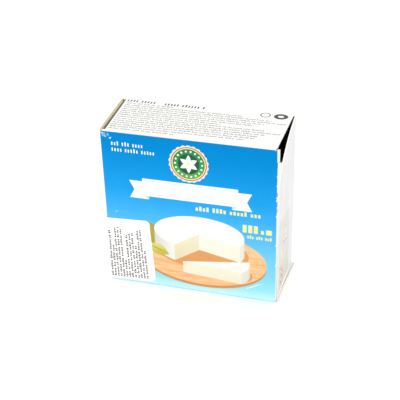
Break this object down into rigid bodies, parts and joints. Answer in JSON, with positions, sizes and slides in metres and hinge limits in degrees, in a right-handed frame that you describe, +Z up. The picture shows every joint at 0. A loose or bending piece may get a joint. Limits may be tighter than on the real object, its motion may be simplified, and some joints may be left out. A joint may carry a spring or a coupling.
{
  "type": "cheese carton",
  "caption": "Shut folding carton for a small round soft cheese, with glued end flaps, a curled flap corner and a paper label wrapped round the lower front edge.",
  "frame": {"origin": "middle of the base panel, on the surface the carton stands on", "axes": "+Z up, the printed front panel faces -Y, and +X is to the right as the front is seen"},
  "size_m": [0.0904, 0.0373, 0.084],
  "materials": {
    "printed_board": "coated printed board, satin",
    "label_paper": "plain white paper, matt"
  },
  "bodies": {
    "root": {"carton": "printed_board", "label": "label_paper"}
  },
  "joints": []
}
